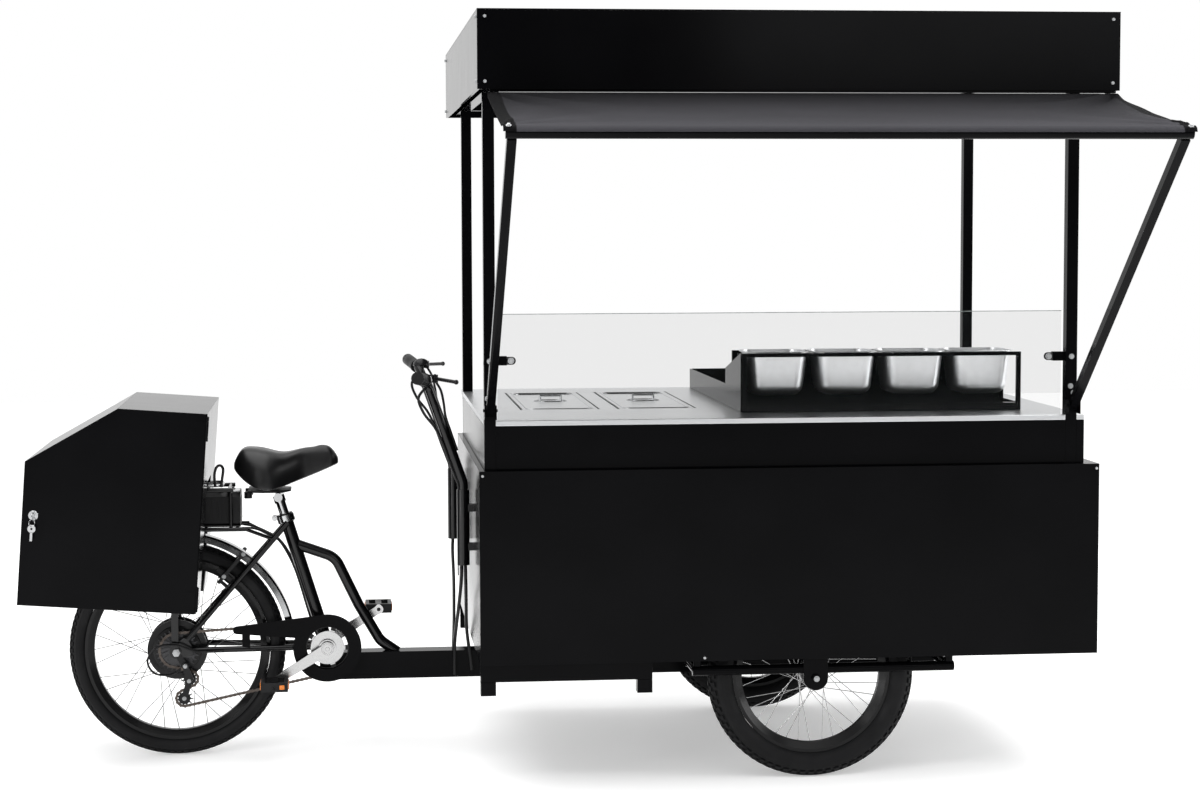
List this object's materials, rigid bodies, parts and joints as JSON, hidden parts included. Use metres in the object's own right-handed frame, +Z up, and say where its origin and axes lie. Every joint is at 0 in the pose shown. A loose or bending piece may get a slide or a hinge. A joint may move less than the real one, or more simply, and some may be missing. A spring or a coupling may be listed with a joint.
{
  "type": "bicycle food cart",
  "caption": "Pedal cargo tricycle with a rear wheel motor, rear storage box and a steered front cart carrying a serving counter, topping pans, glass shield, canopy and awning.",
  "frame": {"origin": "middle of the bounding box, on the ground", "axes": "+X to the front of the cart, +Y to the rider's left (the vendor's side), +Z up"},
  "size_m": [2.862, 2.353, 2.0089],
  "materials": {
    "black_paint": "satin gloss black paint",
    "tube_black": "gloss black paint",
    "stainless": "brushed stainless",
    "polished": "polished",
    "cast_alloy": "satin alloy",
    "dark_steel": "dark oiled steel",
    "motor_black": "black",
    "tyre_rubber": "rubber",
    "grip_rubber": "rubber",
    "cable_black": "black sheath",
    "black_plastic": "black plastic",
    "saddle_vinyl": "black vinyl",
    "clear_glass": "clear",
    "awning_fabric": "dark grey woven cloth"
  },
  "bodies": {
    "bicycle_frame": {"main_beam": "tube_black", "seat_tube": "tube_black", "front_loop": "tube_black", "rear_triangle": "tube_black", "rear_axle": "dark_steel", "chain_guard": "black_paint", "chain": "dark_steel", "rear_mudguard": "polished", "rear_rack": "tube_black", "rear_box_shell": "black_paint", "derailleur_body": "motor_black", "frame_cables": "cable_black"},
    "cart_body": {"cart_underframe": "tube_black", "wheel_cages": "tube_black", "serving_panel": "black_paint", "cabinet_panels": "black_paint", "cabinet_floor": "black_paint", "counter_skirt": "black_paint", "counter_top": "stainless", "topping_rack": "black_paint", "glass_shield": "clear_glass", "canopy_frame": "tube_black", "roof_fascia": "black_paint", "roof_sheet": "black_paint", "handlebar": "tube_black", "bar_sockets": "tube_black", "grips": "grip_rubber", "steering_cables": "cable_black", "awning_cloth": "awning_fabric"},
    "battery": {"battery_pack": "black_plastic"},
    "saddle": {"seat_post": "polished", "saddle_base": "black_plastic", "saddle_cover": "saddle_vinyl"},
    "rear_wheel_body": {"rear_tyre": "tyre_rubber", "rear_wheel": "cast_alloy", "hub_motor": "motor_black"},
    "freewheel_body": {"freewheel": "dark_steel"},
    "crank_body": {"crankset": "cast_alloy"},
    "pedal_right_body": {"pedal_right": "black_plastic"},
    "pedal_left_body": {"pedal_left": "black_plastic"},
    "derailleur_cage_body": {"derailleur_cage": "motor_black"},
    "brake_arm_right_body": {"brake_arm_right": "motor_black"},
    "brake_arm_left_body": {"brake_arm_left": "motor_black"},
    "box_door_body": {"rear_box_door": "black_paint"},
    "box_lock_body": {"box_lock": "polished"},
    "brake_lever_right_body": {"brake_lever_right": "motor_black"},
    "brake_lever_left_body": {"brake_lever_left": "motor_black"},
    "awning_body": {"awning_frame": "tube_black"},
    "well_lid_rear_body": {"well_lid_rear": "stainless"},
    "well_lid_front_body": {"well_lid_front": "stainless"},
    "pan_1_body": {"topping_pan_1": "stainless"},
    "pan_2_body": {"topping_pan_2": "stainless"},
    "pan_3_body": {"topping_pan_3": "stainless"},
    "pan_4_body": {"topping_pan_4": "stainless"},
    "front_wheel_right_body": {"front_tyre_right": "tyre_rubber", "front_wheel_right": "cast_alloy"},
    "front_wheel_left_body": {"front_tyre_left": "tyre_rubber", "front_wheel_left": "cast_alloy"},
    "cabinet_door_rear_body": {"cabinet_door_rear": "black_paint"},
    "cabinet_door_front_body": {"cabinet_door_front": "black_paint"}
  },
  "joints": [
    {"name": "steering", "type": "hinge", "parent": "bicycle_frame", "child": "cart_body", "pos_m": [0.677, 0.2875, 0.3], "axis": [0, 0, 1], "range_deg": [-20, 20], "deforming": ["steering_cables"]},
    {"name": "rear_wheel_spin", "type": "hinge", "parent": "bicycle_frame", "child": "rear_wheel_body", "pos_m": [-1.029, 0.2875, 0.3], "axis": [0, 1, 0], "continuous": true},
    {"name": "crank_spin", "type": "hinge", "parent": "bicycle_frame", "child": "crank_body", "pos_m": [-0.613, 0.2875, 0.3], "axis": [0, 1, 0], "continuous": true, "deforming": ["chain"]},
    {"name": "freewheel_spin", "type": "hinge", "parent": "bicycle_frame", "child": "freewheel_body", "pos_m": [-1.029, 0.2875, 0.3], "axis": [0, 1, 0], "continuous": true, "deforming": ["chain"]},
    {"name": "pedal_right_spin", "type": "hinge", "parent": "crank_body", "child": "pedal_right_body", "pos_m": [-0.75872, 0.1975, 0.21244], "axis": [0, 1, 0], "continuous": true},
    {"name": "pedal_left_spin", "type": "hinge", "parent": "crank_body", "child": "pedal_left_body", "pos_m": [-0.46728, 0.3775, 0.38756], "axis": [0, 1, 0], "continuous": true},
    {"name": "derailleur_swing", "type": "hinge", "parent": "bicycle_frame", "child": "derailleur_cage_body", "pos_m": [-0.995, 0.2415, 0.22], "axis": [0, 1, 0], "range_deg": [-12, 12], "stiffness_Nm_per_rad": 1.5, "deforming": ["chain"]},
    {"name": "seat_height", "type": "slide", "parent": "bicycle_frame", "child": "saddle", "axis": [-0.2974, 0, 0.9548], "range_m": [0, 0.08]},
    {"name": "battery_slide", "type": "slide", "parent": "bicycle_frame", "child": "battery", "axis": [-1, 0, 0], "range_m": [0, 0.35]},
    {"name": "brake_arm_left_swing", "type": "hinge", "parent": "bicycle_frame", "child": "brake_arm_left_body", "pos_m": [-0.9082, 0.33536, 0.49339], "axis": [0.7509, 0, -0.6604], "range_deg": [0, 3]},
    {"name": "brake_arm_right_swing", "type": "hinge", "parent": "bicycle_frame", "child": "brake_arm_right_body", "pos_m": [-0.9082, 0.23964, 0.49339], "axis": [-0.7509, 0, 0.6604], "range_deg": [0, 3]},
    {"name": "brake_lever_right_squeeze", "type": "hinge", "parent": "cart_body", "child": "brake_lever_right_body", "pos_m": [-0.317, -0.0415, 1.07], "axis": [0, 0, -1], "range_deg": [0, 25], "stiffness_Nm_per_rad": 0.6},
    {"name": "brake_lever_left_squeeze", "type": "hinge", "parent": "cart_body", "child": "brake_lever_left_body", "pos_m": [-0.317, 0.6165, 1.07], "axis": [0, 0, 1], "range_deg": [0, 25], "stiffness_Nm_per_rad": 0.6},
    {"name": "box_door_open", "type": "hinge", "parent": "bicycle_frame", "child": "box_door_body", "pos_m": [-0.96026, -0.0335, 0.4425], "axis": [0.0732, 0, 0.9973], "range_deg": [0, 110]},
    {"name": "box_lock_turn", "type": "hinge", "parent": "box_door_body", "child": "box_lock_body", "pos_m": [-1.38236, -0.0325, 0.71615], "axis": [0, 1, 0], "range_deg": [0, 90]},
    {"name": "awning_fold", "type": "hinge", "parent": "cart_body", "child": "awning_body", "pos_m": [0.588, -0.3015, 1.002], "axis": [-1, 0, 0], "range_deg": [0, 26], "deforming": ["awning_cloth"]},
    {"name": "well_lid_rear_lift", "type": "slide", "parent": "cart_body", "child": "well_lid_rear_body", "axis": [0, 0, 1], "range_m": [0, 0.25]},
    {"name": "well_lid_front_lift", "type": "slide", "parent": "cart_body", "child": "well_lid_front_body", "axis": [0, 0, 1], "range_m": [0, 0.25]},
    {"name": "front_wheel_right_spin", "type": "hinge", "parent": "cart_body", "child": "front_wheel_right_body", "pos_m": [0.677, -0.1875, 0.279], "axis": [0, 1, 0], "continuous": true},
    {"name": "front_wheel_left_spin", "type": "hinge", "parent": "cart_body", "child": "front_wheel_left_body", "pos_m": [0.677, 0.7625, 0.279], "axis": [0, 1, 0], "continuous": true},
    {"name": "cabinet_door_rear_open", "type": "hinge", "parent": "cart_body", "child": "cabinet_door_rear_body", "pos_m": [-0.213, 0.8918, 0.59], "axis": [0, 0, 1], "range_deg": [0, 110]},
    {"name": "cabinet_door_front_open", "type": "hinge", "parent": "cart_body", "child": "cabinet_door_front_body", "pos_m": [1.428, 0.8918, 0.59], "axis": [0, 0, -1], "range_deg": [0, 110]},
    {"name": "pan_1_lift", "type": "slide", "parent": "cart_body", "child": "pan_1_body", "axis": [0, 0, 1], "range_m": [0, 0.15]},
    {"name": "pan_2_lift", "type": "slide", "parent": "cart_body", "child": "pan_2_body", "axis": [0, 0, 1], "range_m": [0, 0.15]},
    {"name": "pan_3_lift", "type": "slide", "parent": "cart_body", "child": "pan_3_body", "axis": [0, 0, 1], "range_m": [0, 0.15]},
    {"name": "pan_4_lift", "type": "slide", "parent": "cart_body", "child": "pan_4_body", "axis": [0, 0, 1], "range_m": [0, 0.15]}
  ],
  "couplings": [
    {"joint": "freewheel_spin", "follows": "crank_spin", "ratio": 1.5},
    {"joint": "brake_arm_right_swing", "follows": "brake_lever_right_squeeze", "ratio": 0.12},
    {"joint": "brake_arm_left_swing", "follows": "brake_lever_right_squeeze", "ratio": 0.12}
  ]
}
